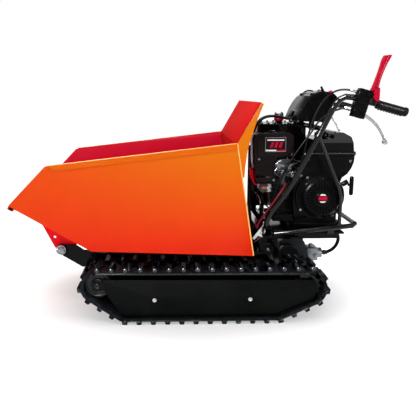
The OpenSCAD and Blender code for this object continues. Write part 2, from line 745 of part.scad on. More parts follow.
module head_body() {
    translate([428, 0, 548]) rotate([0, -65, 0]) {
        translate([-46, -48, 0]) cube([92, 106, 112]);
        for (k = [0 : 8]) translate([-66, -60, 14 + 11 * k]) cube([132, 132, 4]);
        translate([-58, -54, 112]) cube([116, 120, 20]);
        translate([-40, -38, 132]) cube([80, 88, 28]);
    }
}
module cylinder_head() {
    color([0.35, 0.35, 0.36]) {
        difference() {
            head_body();
            slab(-104.5, 96.5) polygon([[428, 300], [436, 560], [456, 586], [700, 700], [700, 300]]);
        }
        // spark plug and its cap
        translate([300, 30, 586]) rotate([0, -115, 0]) cylinder(h = 52, r = 9, $fn = 24);
    }
}

module blower_housing() {
    shroud = [[414, 600], [414, 690], [655, 690], [652, 660], [642, 634], [626, 610], [604, 594], [590,
        560]];
    color([0.06, 0.06, 0.065]) difference() {
        union() {
            slab(-175, -112) translate(crank) circle(r = recoil_r + 10, $fn = fine);
            slab(-162, -112) polygon(shroud);
            slab(-112, -62) polygon([[480, 610], [480, 690], [655, 690], [652, 660], [642, 634], [626,
                610]]);
            slab(-150, -112) polygon([[402, 400], [392, 470], [396, 560], [414, 640], [460, 600], [460,
                400]]);
            for (x = [488, 585]) shaft(x, 650, -166, -162, 8, 6);
            shaft(438, 640, -168, -162, 10, 32);
        }
        slab(-170, -100) translate(crank) circle(r = recoil_r - 8, $fn = fine);
    }
}

module recoil_cover() {
    color([0.03, 0.03, 0.035]) translate([crank[0], 0, crank[1]]) difference() {
        union() {
            shaft(0, 0, -190, -175, recoil_r);
            translate([0, -190, 0]) rotate([90, 0, 0]) cylinder(h = 18, r1 = recoil_r - 4, r2 = 76,
                $fn = fine);
            shaft(0, 0, -213, -208, 30);
            // rope guide
            translate([96, -194, 62]) rotate([0, 60, 0]) translate([0, 0, -8]) cylinder(h = 26, r = 11,
                $fn = 32);
        }
        for (k = [0 : slot_count - 1]) rotate([0, k * 360 / slot_count, 0])
            block([38, -220, -2.2], [72, -196, 2.2]);
        for (k = [0 : slot_count / 2 - 1]) rotate([0, k * 720 / slot_count + 6, 0])
            block([81, -196, -4], [90, -172, 4]);
        shaft(0, 0, -196, -160, 74);
        translate([104, -194, 66.6]) rotate([0, 60, 0]) translate([0, 0, -30]) cylinder(h = 60, r = 4,
            $fn = 24);
    }
}

pull = [637, -190, 562];
module recoil_handle() {
    color([0.03, 0.03, 0.03]) {
        bar(pull - [0, 0, 34], pull + [0, 0, 34], 9);
        for (z = [-34, 34]) translate(pull + [0, 0, z]) sphere(r = 9, $fn = 24);
        bar(pull, pull + [-14.5, 0, 6.4], 6);
    }
}

module fuel_tank() {
    color([0.05, 0.05, 0.055]) {
        difference() {
            union() {
                block([464, -152, 690], [662, 128, 708]);
                slab(-142, 118) polygon([[470, 708], [476, 752], [484, 758], [569, 762], [579, 780],
                    [587, 790], [622, 788], [652, 770], [658, 708]]);
            }
            slab(-94, 115) polygon([[474, 700], [480, 748], [486, 754], [571, 758], [582, 776],
                [589, 786], [620, 784], [648, 768], [654, 700]]);
            block([474, -94, 694], [654, 115, 701]);
            translate([460, 0, 0]) rotate([90, 0, 90]) linear_extrude(height = 210)
                polygon([[-146, 742], [-146, 800], [-88, 800]]);
            translate([536, -52, 740]) cylinder(h = 60, r = 21.5, $fn = fine);
        }
        // filler neck
        translate([536, -52, 748]) difference() {
            cylinder(h = 22, r = 21.5, $fn = fine);
            translate([0, 0, -1]) cylinder(h = 30, r = 17, $fn = fine);
        }
    }
}

module fuel_cap() {
    color([0.05, 0.05, 0.06]) translate([536, -52, 0]) difference() {
        union() {
            translate([0, 0, 764]) cylinder(h = 22, r = 30, $fn = fine);
            translate([0, 0, 786]) cylinder(h = 6, r = 24, $fn = fine);
            for (k = [0 : 11]) rotate([0, 0, k * 30]) translate([28, -3, 766]) cube([4, 6, 18]);
        }
        translate([0, 0, 760]) cylinder(h = 20, r = 21.56, $fn = fine);
    }
}

module air_cleaner() {
    color([0.06, 0.05, 0.05]) {
        slab(-165, -66) polygon([[222, 568], [213, 650], [209, 760], [213, 778], [222, 788], [362, 792],
            [376, 785], [383, 770], [386, 704], [380, 688], [310, 684], [306, 568]]);
        slab(-172, -165) polygon([[226, 690], [222, 762], [230, 776], [352, 779], [368, 772], [373, 704],
            [364, 692]]);
        // label plate
        block([251, -174, 706], [351, -172, 778]);
        translate([296, -116, 788]) cylinder(h = 12, r = 14, $fn = 32);
        for (z = [590 : 16 : 670]) block([218, -168, z], [306, -165, z + 5]);
    }
}

module carburettor() {
    color([0.6, 0.6, 0.62]) {
        block([318, -150, 610], [376, -74, 672]);
        translate([347, -112, 560]) cylinder(h = 50, r = 24, $fn = fine);
        shaft(347, 640, -176, -150, 10, 32);
        shaft(330, 600, -160, -120, 7, 6);
        // choke and throttle arms
        slab(-170, -166) polygon([[322, 640], [347, 650], [392, 664], [394, 657], [350, 632]]);
        slab(-162, -158) polygon([[330, 622], [378, 604], [376, 597], [326, 612]]);
        slab(-176, -172) polygon([[300, 655], [345, 646], [345, 638], [302, 645]]);
        // primer filter bowl
        shaft(262, 545, -140, -96, 21.5);
    }
}

module muffler() {
    color([0.12, 0.12, 0.12]) {
        difference() {
            block([548, -40, 590], [656, 96, 680]);
            for (k = [0 : 5]) block([652, -28 + 20 * k, 602], [660, -18 + 20 * k, 668]);
        }
        block([530, 20, 600], [548, 70, 650]);
        translate([630, 96, 640]) rotate([-90, 0, 0]) cylinder(h = 26, r = 13, $fn = 32);
    }
}

// ---- hydraulics and console ----

module hydraulic_tank() {
    color([0.03, 0.03, 0.03]) {
        difference() {
            block([262, -20, 700], [455, 172, 816]);
            block([266, -16, 704], [451, 168, 812]);
            translate([366, 80, 800]) cylinder(h = 30, r = 12, $fn = 32);
        }
        // lid with its row of bolts
        difference() {
            block([256, -28, 816], [462, 180, 823]);
            translate([366, 80, 800]) cylinder(h = 30, r = 12, $fn = 32);
        }
        for (x = [268 : 30 : 450]) for (y = [-20, 172]) translate([x, y, 823])
            cylinder(h = 6, r = 5, $fn = 6);
        for (y = [20 : 40 : 140]) for (x = [264, 454]) translate([x, y, 823]) cylinder(h = 6, r = 5,
            $fn = 6);
        // stand on the tie beam and the deck
        block([262, 172, 385], [284, 178, 816]);
        block([415, 172, 348], [437, 178, 816]);
        block([262, 172, 560], [437, 177, 590]);
        // splash panel between the stands, with pressed ribs, and the gusset beside the tank
        block([236, 172, 392], [437, 175, 705]);
        for (z = [430 : 60 : 670]) block([300, 174, z], [400, 178, z + 10]);
        block([454, 168, 700], [524, 172, 798]);
    }
}

module tank_breather() {
    color([0.85, 0.85, 0.86]) translate([366, 80, 0]) {
        translate([0, 0, 792]) cylinder(h = 31, r = 12, $fn = 32);
        translate([0, 0, 823]) cylinder(h = 8, r = 17, $fn = 6);
        translate([0, 0, 831]) cylinder(h = 36, r = 22, $fn = fine);
        translate([0, 0, 867]) cylinder(h = 7, r1 = 22, r2 = 16, $fn = fine);
    }
}

dome = [[401, 842], [423, 894], [440, 924], [458, 946], [480, 960], [500, 967], [516, 970], [548, 966],
    [566, 958], [580, 944], [581, 934], [568, 898], [540, 832], [524, 832], [500, 838], [440, 838]];
dome_in = [[408, 836], [428, 892], [444, 921], [461, 942], [482, 956], [501, 963], [516, 966], [547, 962],
    [563, 955], [575, 943], [576, 935], [564, 900], [534, 830]];
module console() {
    color([0.04, 0.04, 0.035]) {
        difference() {
            slab(-118, 118) polygon(dome);
            slab(-115, 115) polygon(dome_in);
            // slot for the valve lines
            block([390, -26, 838], [452, 22, 880]);
            block([540, -7, 892], [600, 7, 980]);
        }
        // bolts around the edge of each side
        both() for (p = [[412, 852], [430, 890], [448, 922], [470, 944], [500, 956], [534, 957],
            [566, 944], [560, 906], [546, 868], [532, 842], [490, 846], [450, 846]])
            shaft(p[0], p[1], -122, -118, 5, 6);
        // straps down to the cross tube
        both() difference() {
            block([466, -90, 804], [490, -84, 962]);
            shaft(478, 815, -100, -80, 11.05);
        }
        // seat of the valve lever and valve block under it
        both() difference() {
            slab(-14, -8) polygon([[500, 880], [500, 930], [560, 930], [572, 915], [560, 880]]);
            shaft(556, 905, -20, 0, 5.05);
        }
        block([470, -40, 880], [500, 40, 930]);
    }
}

module valve_lever() {
    color([0.75, 0.03, 0.1]) {
        shaft(556, 905, -16, 16, 5);
        bar([556, 0, 905], [584, 0, 960], 5);
        translate([585, 0, 963]) sphere(r = 12, $fn = 32);
    }
}

module gear_lever() {
    color([0.03, 0.03, 0.03]) {
        shaft(470, 866, 118.3, 136, 6);
        bar([470, 130, 866], [498, 142, 920], 5);
        translate([499, 142, 924]) sphere(r = 13, $fn = 32);
    }
}

module hydraulic_hoses() {
    color([0.03, 0.03, 0.03]) {
        // pressure hose from the pump up to the deck
        sweep(curve([577.5, 0, 196], [668, -18, 196], [664, -46, 330], [600, -56, 318], 12), 8);
        bar([600, -56, 308], [600, -56, 339.8], 11);
        // suction hose from the tank down to the deck on the far side
        sweep(curve([300, 150, 699.5], [300, 150, 600], [314, 150, 460], [308, 150, 366], 12), 9);
        bar([308, 150, 348.2], [308, 150, 374], 13);
        // pair of lines from the valve down the front of the engine to the ram
        for (k = [0, 20]) translate([0, k, 0]) sweep(concat(
            curve([469.5, -10, 888], [440, -10, 888], [440, -12, 848], [396, -14, 846], 8),
            curve([388, -14, 845.7], [340, -15, 856], [222, -22, 900], [222, -38, 720], 14),
            curve([222, -38.4, 704], [214, -42, 600], [206, -46, 500], [218, -44, 400], 6),
            curve([219, -44, 390], [232, -40, 260], [248, -10, 82], [201.5, -10, 82], 10)), 6);
    }
}

rail_left();
rail_right();
cross_members();
rest_pads();
pivot_pins();
frame_left();
frame_right();
cover_left();
cover_right();
track_left();
track_right();
gearbox();
engine_deck();
deck_rail();
crankcase();
cylinder_head();
blower_housing();
recoil_cover();
fuel_tank();
air_cleaner();
carburettor();
muffler();
drive_belt();
belt_guard();
hydraulic_tank();
tank_breather();
hydraulic_pump();
hydraulic_hoses();
console();
handlebar_left();
handlebar_right();
lever_clamps();
grips();
control_cables();
hopper_side_left();
hopper_side_right();
hopper_floor();
hopper_lip();
hopper_rear_wall();
hopper_brackets();
ram_barrel();
ram_rod();
sprocket_left();
sprocket_right();
idler_left();
idler_right();
roller_left_front();
roller_left_rear();
roller_right_front();
roller_right_rear();
clutch_lever();
steering_lever_left();
steering_lever_right();
throttle_lever();
valve_lever();
gear_lever();
fuel_cap();
recoil_handle();
crank_pulley();
input_shaft();
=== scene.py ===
"""Power wheelbarrow: looks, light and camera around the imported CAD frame. Metres, +X to the handlebars."""
import math

import bpy
import bmesh
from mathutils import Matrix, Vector


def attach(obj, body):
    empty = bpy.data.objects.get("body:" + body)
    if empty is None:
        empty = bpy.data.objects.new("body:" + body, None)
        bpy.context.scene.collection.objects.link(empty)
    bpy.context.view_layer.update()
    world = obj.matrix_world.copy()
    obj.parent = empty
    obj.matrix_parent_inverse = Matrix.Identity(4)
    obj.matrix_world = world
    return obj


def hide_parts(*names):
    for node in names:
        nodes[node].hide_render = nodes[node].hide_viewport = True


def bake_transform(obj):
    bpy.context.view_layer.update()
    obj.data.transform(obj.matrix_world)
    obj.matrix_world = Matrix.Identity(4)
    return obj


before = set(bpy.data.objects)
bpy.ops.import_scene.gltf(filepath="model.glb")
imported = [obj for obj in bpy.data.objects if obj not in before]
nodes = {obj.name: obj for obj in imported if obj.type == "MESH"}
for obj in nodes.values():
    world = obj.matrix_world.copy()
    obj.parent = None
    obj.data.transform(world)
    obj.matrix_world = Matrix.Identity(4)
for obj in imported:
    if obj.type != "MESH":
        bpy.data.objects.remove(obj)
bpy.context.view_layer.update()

BODY = "chassis"
scene = bpy.context.scene


# ---- camera, light, floor ----

CAMERA_AT = (-0.144, -2.264, 0.956)
CAMERA_TILT, CAMERA_TURN = math.radians(80), math.radians(-1.5)
LENS_MM, SENSOR_MM = 42.06, 36.0
SHIFT = (0.0538, -0.0668)


def add_camera():
    data = bpy.data.cameras.new("Camera")
    data.sensor_width = SENSOR_MM
    data.lens = LENS_MM
    data.shift_x, data.shift_y = SHIFT
    cam = bpy.data.objects.new("Camera", data)
    cam.location = CAMERA_AT
    cam.rotation_euler = (CAMERA_TILT, 0, CAMERA_TURN)
    scene.collection.objects.link(cam)
    scene.camera = cam


def node(tree, kind, **values):
    """New shader node. Each value goes to the input of that name, or else to the property."""
    n = tree.nodes.new(kind)
    for k, v in values.items():
        if k in n.inputs:
            n.inputs[k].default_value = v
        else:
            setattr(n, k, v)
    return n


def coordinate(tree, kind, axis):
    """One axis of a texture coordinate, as a socket."""
    co = node(tree, "ShaderNodeTexCoord")
    sep = node(tree, "ShaderNodeSeparateXYZ")
    tree.links.new(co.outputs[kind], sep.inputs[0])
    return sep.outputs[axis]


def map_range(tree, source, span=(0.0, 1.0), to=(0.0, 1.0), blend="LINEAR"):
    """Maps a socket from one span to another, and clamps it."""
    m = node(tree, "ShaderNodeMapRange", interpolation_type=blend)
    for name, value in zip(("From Min", "From Max", "To Min", "To Max"), (*span, *to)):
        m.inputs[name].default_value = value
    tree.links.new(source, m.inputs["Value"])
    return m.outputs["Result"]


def area(name, loc, target, size, power, color=(1, 1, 1), gloss_only=False):
    """Rectangular lamp that looks at target. With gloss_only it shows in reflections only."""
    data = bpy.data.lights.new(name, "AREA")
    data.shape = "RECTANGLE"
    data.size, data.size_y = size
    data.energy = power
    data.color = color
    o = bpy.data.objects.new(name, data)
    o.location = loc
    o.rotation_euler = (Vector(target) - Vector(loc)).to_track_quat("-Z", "Y").to_euler()
    o.visible_diffuse = not gloss_only
    scene.collection.objects.link(o)


HORIZON, SKY = 1.0, 0.22                # brightness of the world below and above the band
BAND = (0.27, 0.42)                     # height over which the one turns into the other


def add_light():
    """Studio: a white horizon, a dim dome above it, a soft box overhead, two strips and a gloss lamp."""
    world = bpy.data.worlds.new("World")
    world.use_nodes = True
    t = world.node_tree
    sky = map_range(t, coordinate(t, "Generated", "Z"), BAND, (HORIZON, SKY), "SMOOTHSTEP")
    t.links.new(sky, t.nodes["Background"].inputs["Strength"])
    t.nodes["Background"].inputs["Color"].default_value = (1, 1, 1, 1)
    scene.world = world
    area("Top", (0.0, 0.3, 3.2), (0.0, 0, 0.3), (3.4, 2.2), 92)
    area("Strip", (-0.3, -2.1, 2.9), (0.0, 0, 0.5), (3.6, 0.11), 48)
    area("Side", (2.6, -1.9, 1.5), (0.4, 0, 0.5), (0.12, 1.8), 16, (0.92, 0.96, 1.0))
    area("Gloss", (-1.5, -2.2, 2.6), (0.3, 0, 0.6), (2.4, 1.0), 950, gloss_only=True)
    scene.view_settings.view_transform = "Standard"
    scene.view_settings.look = "None"


FLOOR_HALF = 30
FLOOR_DROP = 0.0005                     # keeps the floor clear of the lugs
FLOOR_COLOR = (0.46, 0.46, 0.458, 1)
GLOW_OVAL = (1.9, 2.5, 0)               # the glow's distance counts this many times along X and Y
GLOW_SPAN, GLOW = (0.9, 1.9), (0.43, 0.9)


def add_floor():
    """White floor with its own emission, weak near the machine and stronger with distance: a painted glow, which
    leaves a painted darker patch round the machine and meets the white horizon without an edge.
    """
    mesh = bpy.data.meshes.new("Floor")
    s = FLOOR_HALF
    mesh.from_pydata([(-s, -s, 0), (s, -s, 0), (s, s, 0), (-s, s, 0)], [], [(0, 1, 2, 3)])
    o = bpy.data.objects.new("Floor", mesh)
    o.location = (0, 0, -FLOOR_DROP)
    scene.collection.objects.link(o)
    m = bpy.data.materials.new("floor_white")
    m.use_nodes = True
    t = m.node_tree
    b = t.nodes["Principled BSDF"]
    b.inputs["Base Color"].default_value = FLOOR_COLOR
    b.inputs["Roughness"].default_value = 0.9
    b.inputs["Specular IOR Level"].default_value = 0.0
    co = node(t, "ShaderNodeTexCoord")
    oval = node(t, "ShaderNodeVectorMath", operation="MULTIPLY")
    oval.inputs[1].default_value = GLOW_OVAL
    t.links.new(co.outputs["Object"], oval.inputs[0])
    far = node(t, "ShaderNodeVectorMath", operation="LENGTH")
    t.links.new(oval.outputs["Vector"], far.inputs[0])
    b.inputs["Emission Color"].default_value = (1, 1, 1, 1)
    # emission strength by distance: a painted glow, weakest round the machine
    glow = map_range(t, far.outputs["Value"], GLOW_SPAN, GLOW, "SMOOTHSTEP")
    t.links.new(glow, b.inputs["Emission Strength"])
    mesh.materials.append(m)


# ---- materials ----

def ramp(tree, source, stops):
    """Colour ramp with (position, colour) stops, fed by a socket."""
    r = node(tree, "ShaderNodeValToRGB")
    e = r.color_ramp.elements
    for el, (p, c) in zip(e, stops):
        el.position = p
        el.color = (*c, 1)
    tree.links.new(source, r.inputs["Fac"])
    return r.outputs["Color"]


def noise(tree, vector, scale, detail, **values):
    """Noise texture over a vector socket, as a socket."""
    n = node(tree, "ShaderNodeTexNoise", Scale=scale, Detail=detail, **values)
    tree.links.new(vector, n.inputs["Vector"])
    return n.outputs["Fac"]


def multiply(tree, a, b):
    """Product of two sockets."""
    m = node(tree, "ShaderNodeMath", operation="MULTIPLY")
    tree.links.new(a, m.inputs[0])
    tree.links.new(b, m.inputs[1])
    return m.outputs[0]


def mix_color(tree, amount, under, over):
    """A constant colour laid over a colour socket."""
    mix = node(tree, "ShaderNodeMix", data_type="RGBA")
    tree.links.new(amount, mix.inputs["Factor"])
    tree.links.new(under, mix.inputs["A"])
    mix.inputs["B"].default_value = (*over, 1)
    return mix.outputs["Result"]


MOTTLE = (9.0, 6.0)                     # scale and detail of the noise behind colour and roughness
MOTTLE_SPAN = (0.3, 0.7)
SPOTS, SPOTS_SPAN = (60.0, 4.0), (0.42, 0.62)
EDGE_WEAR_AND_HIGHLIGHT_WIDTH = 0.03
BLACK_TO_WHITE = ((0, 0, 0), (1, 1, 1))
BUMP_DEPTH, BUMP_DETAIL = 0.001, 2.0


def make(name, base, rough, metal=0.0, vary=0.12, rough_vary=0.1, bump=0.0, bump_scale=400.0, spec=0.5,
         edge_wear_and_highlight=None):
    """A procedural surface: mottled colour and roughness, fine bump, and sharp edges lightened in spots to a set
    colour, which is partly wear and partly a painted highlight.
    """
    m = bpy.data.materials.new(name)
    m.use_nodes = True
    t = m.node_tree
    b = t.nodes["Principled BSDF"]
    b.inputs["Metallic"].default_value = metal
    b.inputs["Specular IOR Level"].default_value = spec
    at = node(t, "ShaderNodeTexCoord").outputs["Object"]
    mottle = noise(t, at, *MOTTLE, Roughness=0.55)
    dark = tuple(c * (1 - vary) for c in base)
    light = tuple(min(1, c * (1 + vary) + 0.002) for c in base)
    color = ramp(t, mottle, zip(MOTTLE_SPAN, (dark, light)))
    # sharp edges lightened in spots: partly worn paint, partly a painted highlight along the edges
    if edge_wear_and_highlight:
        wear_and_highlight_color, sharpness = edge_wear_and_highlight
        geo = node(t, "ShaderNodeNewGeometry")
        edge = ramp(t, geo.outputs["Pointiness"], zip((sharpness, sharpness + EDGE_WEAR_AND_HIGHLIGHT_WIDTH), BLACK_TO_WHITE))
        spots = ramp(t, noise(t, at, *SPOTS), zip(SPOTS_SPAN, BLACK_TO_WHITE))
        color = mix_color(t, multiply(t, edge, spots), color, wear_and_highlight_color)
    t.links.new(color, b.inputs["Base Color"])
    roughness = (max(0.02, rough - rough_vary), min(1, rough + rough_vary))
    t.links.new(map_range(t, mottle, to=roughness), b.inputs["Roughness"])
    if bump:
        bp = node(t, "ShaderNodeBump", Strength=bump, Distance=BUMP_DEPTH)
        t.links.new(noise(t, at, bump_scale, BUMP_DETAIL), bp.inputs["Height"])
        t.links.new(bp.outputs["Normal"], b.inputs["Normal"])
    return m


def lay_over(m, amount, over):
    """Lays a constant colour over a material's base colour, by an amount socket."""
    t = m.node_tree
    base = t.nodes["Principled BSDF"].inputs["Base Color"]
    t.links.new(mix_color(t, amount, base.links[0].from_socket, over), base)


PAINTED_LIGHT_Z = (0.33, 0.74)                   # height over which painted light turns the orange lighter towards the top
PAINTED_LIGHT_X, PAINTED_LIGHT_START = (-0.65, 0.16), 0.42


def make_paint_with_painted_light(name, top, low, **rest):
    """Powder coat with painted light: lighter towards the top of the panel and redder below, less at the nose
    than at the rear.
    """
    m = make(name, low, **rest)
    t = m.node_tree
    up = map_range(t, coordinate(t, "Object", "Z"), PAINTED_LIGHT_Z)
    along = map_range(t, coordinate(t, "Object", "X"), PAINTED_LIGHT_X, (PAINTED_LIGHT_START, 1.0))
    lay_over(m, multiply(t, up, along), top)
    return m


def paint_with_painted_shade_inside(name, outer, inner_shade, axis, sign, **rest):
    """The paint with painted light outside, and a darker colour on the faces whose own normal points along axis
    times sign: painted shade inside the hopper.
    """
    m = make_paint_with_painted_light(name, *outer, **rest)
    t = m.node_tree
    lay_over(m, map_range(t, coordinate(t, "Normal", axis), (0.4 * sign, 0.5 * sign)), inner_shade)
    return m


# top and low colour of the orange: the lighter top and the redder bottom are painted light and shade
ORANGE = ((0.622, 0.153, 0.0006), (0.705, 0.0190, 0.0012))
PAINT = dict(rough=0.3, vary=0.04, rough_vary=0.06, bump=0.05, bump_scale=260.0, spec=0.07)
# crimson of the hopper's inner faces: painted shade and red reflection on the same orange paint
INNER_PAINTED_SHADE = (0.60, 0.0012, 0.027)
MAT = {
    "side_left": paint_with_painted_shade_inside("hopper_left_paint", ORANGE, INNER_PAINTED_SHADE, "Y", 1, **PAINT),
    "side_right": paint_with_painted_shade_inside("hopper_right_paint", ORANGE, INNER_PAINTED_SHADE, "Y", -1, **PAINT),
    "bed": paint_with_painted_shade_inside("hopper_bed_paint", ORANGE, INNER_PAINTED_SHADE, "Z", 1, **PAINT),
    "orange": make_paint_with_painted_light("orange_paint", *ORANGE, **PAINT),
    # orange of the rim faces: partly the rim's own yellower tone, partly a painted highlight on the protruding
    # rim
    "flange": make("orange_rim", (0.64, 0.104, 0.001), 0.3, vary=0.03, bump=0.05, bump_scale=260.0, spec=0.05),
    # light yellow of the rolled edges: a painted highlight along the rear edge, the rim and the wing
    "edge": make("orange_edge_highlight", (0.92, 0.46, 0.12), 0.3, vary=0.03, bump=0.05, bump_scale=260.0, spec=0.06),
    "red": make("red_paint", (0.80, 0.0035, 0.012), 0.34, vary=0.06, bump=0.06, bump_scale=260.0, spec=0.06),
    "red_guard": make("red_guard_paint", (0.485, 0.0045, 0.0035), 0.7, vary=0.05, bump=0.05, spec=0.01),
    "black": make("black_paint", (0.0012, 0.0012, 0.0014), 0.11, vary=0.3, rough_vary=0.03, bump=0.06,
                  bump_scale=300.0, spec=0.085, edge_wear_and_highlight=((0.03, 0.03, 0.03), 0.575)),
    "tube": make("tube_paint", (0.0012, 0.0012, 0.0014), 0.12, vary=0.3, rough_vary=0.03, bump=0.04,
                 bump_scale=300.0, spec=0.24),
    "cover": make("cover_paint", (0.0020, 0.0024, 0.0024), 0.4, vary=0.2, rough_vary=0.05, bump=0.1,
                  bump_scale=520.0, spec=0.035),
    "rubber": make("rubber", (0.0018, 0.0018, 0.0022), 0.30, vary=0.35, bump=0.2, bump_scale=180.0, spec=0.10),
    # track rubber: its bluish lighter edges are partly wear and partly a painted bluish highlight on the lugs
    "track": make("track_rubber", (0.0014, 0.0016, 0.002), 0.4, vary=0.35, rough_vary=0.12, bump=0.35,
                  bump_scale=140.0, spec=0.07, edge_wear_and_highlight=((0.008, 0.010, 0.016), 0.55)),
    "sheath": make("cable_sheath", (0.003, 0.003, 0.0035), 0.3, vary=0.2, bump=0.05, spec=0.06),
    "chrome": make("chrome", (0.24, 0.245, 0.26), 0.12, metal=1.0, vary=0.04, rough_vary=0.05),
    "bright": make("lever_chrome", (0.38, 0.385, 0.40), 0.12, metal=1.0, vary=0.04, rough_vary=0.03),
    # grey casting: the lighter bluish-grey edges are partly wear and partly a painted highlight, as on the drum
    # rim
    "grey": make("grey_casting", (0.005, 0.006, 0.0075), 0.36, metal=0.1, vary=0.3, bump=0.4, bump_scale=220.0,
                 spec=0.16, edge_wear_and_highlight=((0.12, 0.13, 0.14), 0.56)),
    "dark_cast": make("dark_casting", (0.0018, 0.0018, 0.002), 0.34, vary=0.3, bump=0.35, bump_scale=240.0,
                      spec=0.07),
    "bare": make("bare_casting", (0.22, 0.23, 0.25), 0.38, metal=0.9, vary=0.15, bump=0.3, bump_scale=300.0),
    "plastic": make("black_plastic", (0.0014, 0.0014, 0.0016), 0.2, vary=0.15, bump=0.05, bump_scale=500.0,
                    spec=0.05),
    # dark plastic of the air cleaner with a reddish tint: the tint is a painted reflection of the red hopper
    "cleaner": make("cleaner_plastic_red_reflection", (0.0065, 0.0028, 0.0032), 0.26, vary=0.15, bump=0.08, bump_scale=500.0,
                    spec=0.07),
    "tank": make("tank_plastic", (0.0016, 0.0018, 0.0022), 0.09, vary=0.12, rough_vary=0.03, bump=0.03,
                 bump_scale=420.0, spec=0.09),
    "steel": make("dark_steel", (0.02, 0.02, 0.022), 0.36, metal=0.7, vary=0.3, bump=0.1, spec=0.3),
    "zinc": make("zinc_plate", (0.5, 0.5, 0.49), 0.28, metal=1.0, vary=0.08, bump=0.05),
    "lever": make("red_lever", (0.45, 0.0012, 0.024), 0.24, vary=0.05, spec=0.045),
    # cylinder head: lighter edges, partly wear and partly painted small highlights on the dark casting
    "head": make("head_casting", (0.006, 0.0065, 0.0075), 0.36, metal=0.2, vary=0.3, bump=0.3, bump_scale=260.0,
                 spec=0.2, edge_wear_and_highlight=((0.10, 0.105, 0.11), 0.56)),
    "carb": make("carb_casting", (0.010, 0.011, 0.014), 0.3, metal=0.08, vary=0.3, bump=0.35, bump_scale=300.0),
    "bolt": make("bolt_steel", (0.16, 0.165, 0.175), 0.24, metal=1.0, vary=0.15, bump=0.05),
    # lighter, bluish rubber of the lug ends and the tank seam: a painted bluish highlight
    "lug": make("lug_rubber_bluish_highlight", (0.012, 0.017, 0.026), 0.24, vary=0.4, rough_vary=0.1, bump=0.25, bump_scale=160.0,
                spec=0.5),
    "dark_red": make("dark_red_paint", (0.16, 0.001, 0.008), 0.25, vary=0.1, spec=0.2),
    "silver": make("label_silver", (0.26, 0.26, 0.27), 0.35, vary=0.03, spec=0.3),
    "white": make("label_white", (0.75, 0.75, 0.75), 0.35, vary=0.03, spec=0.3),
    "orange_dot": make("orange_plastic", (0.8, 0.12, 0.02), 0.35, vary=0.05, spec=0.3),
}

NODE_MAT = {
    "rail_left": "black", "rail_right": "black", "cross_members": "black", "rest_pads": "rubber",
    "pivot_pins": "chrome", "frame_left": "black", "frame_right": "black", "cover_left": "cover",
    "cover_right": "cover", "track_left": "track", "track_right": "track", "gearbox": "grey",
    "engine_deck": "black", "deck_rail": "tube", "crankcase": "dark_cast", "cylinder_head": "head",
    "blower_housing": "plastic", "recoil_cover": "plastic", "fuel_tank": "tank", "air_cleaner": "cleaner",
    "carburettor": "carb", "muffler": "steel", "drive_belt": "rubber", "belt_guard": "black",
    "hydraulic_tank": "black", "tank_breather": "chrome", "hydraulic_pump": "bare",
    "hydraulic_hoses": "rubber", "console": "plastic", "handlebar_left": "tube", "handlebar_right": "tube",
    "lever_clamps": "plastic", "grips": "rubber", "control_cables": "sheath", "hopper_side_left": "side_left",
    "hopper_side_right": "side_right", "hopper_floor": "bed", "hopper_lip": "orange",
    "hopper_rear_wall": "red_guard", "hopper_brackets": "red", "ram_barrel": "black", "ram_rod": "chrome",
    "sprocket_left": "steel", "sprocket_right": "steel", "idler_left": "steel", "idler_right": "steel",
    "roller_left_front": "steel", "roller_left_rear": "steel", "roller_right_front": "steel",
    "roller_right_rear": "steel", "clutch_lever": "lever", "steering_lever_left": "bright",
    "steering_lever_right": "bright", "throttle_lever": "plastic", "valve_lever": "lever",
    "gear_lever": "plastic", "fuel_cap": "plastic", "recoil_handle": "plastic", "crank_pulley": "grey",
    "input_shaft": "steel",
}
BEVEL = {"track_left": 0.0018, "track_right": 0.0018, "hopper_floor": 0.0, "control_cables": 0.0,
         "hydraulic_hoses": 0.0, "air_cleaner": 0.004, "fuel_tank": 0.003, "blower_housing": 0.003,
         "clutch_lever": 0.003, "cover_left": 0.002, "cover_right": 0.002, "gearbox": 0.003}
EDGE = 0.001                            # bevel of the other nodes
ONE_FACET = {"fuel_tank"}


WELD_GAP = 0.00002
SHARP = math.radians(32)                # edges sharper than this are rounded
CREASE = math.radians(38)               # smooth pieces without a bevel split at this angle


def bevel(o, width, segments=2):
    """Welds a mesh's doubled points and rounds its sharp edges, as modifiers."""
    w = o.modifiers.new("Weld", "WELD")
    w.merge_threshold = WELD_GAP
    b = o.modifiers.new("Bevel", "BEVEL")
    b.width = width
    b.segments = segments
    b.limit_method = "ANGLE"
    b.angle_limit = SHARP
    b.harden_normals = True
    b.use_clamp_overlap = True


def dress_nodes():
    """Gives every CAD node its material and rounded edges. The meshes stay as they are."""
    for name, o in nodes.items():
        o.data.materials.clear()
        o.data.materials.append(MAT[NODE_MAT[name]])
        width = BEVEL.get(name, EDGE)
        if width:
            for p in o.data.polygons:
                p.use_smooth = name not in ONE_FACET
            bevel(o, width, 1 if name in ONE_FACET else 2)


# ---- mesh helpers ----

def put(name, bm, material, body=BODY, smooth=True, bev=0.0, replaces=()):
    """Turns a bmesh into a piece that rides on a CAD body, or on none."""
    bmesh.ops.recalc_face_normals(bm, faces=bm.faces)
    mesh = bpy.data.meshes.new(name)
    bm.to_mesh(mesh)
    bm.free()
    for f in mesh.polygons:
        f.use_smooth = smooth
    o = bpy.data.objects.new(name, mesh)
    scene.collection.objects.link(o)
    mesh.materials.append(MAT[material])
    if bev:
        bevel(o, bev)
    elif smooth:
        split = o.modifiers.new("Split", "EDGE_SPLIT")
        split.split_angle = CREASE
    if body:
        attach(o, body)
    if replaces:
        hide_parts(*replaces)
    return o


def side_frame(direction):
    """The direction as a unit vector, and two more square to it."""
    d = Vector(direction).normalized()
    ref = Vector((0, 1, 0)) if abs(d.y) < 0.9 else Vector((1, 0, 0))
    u = d.cross(ref).normalized()
    return d, u, d.cross(u)


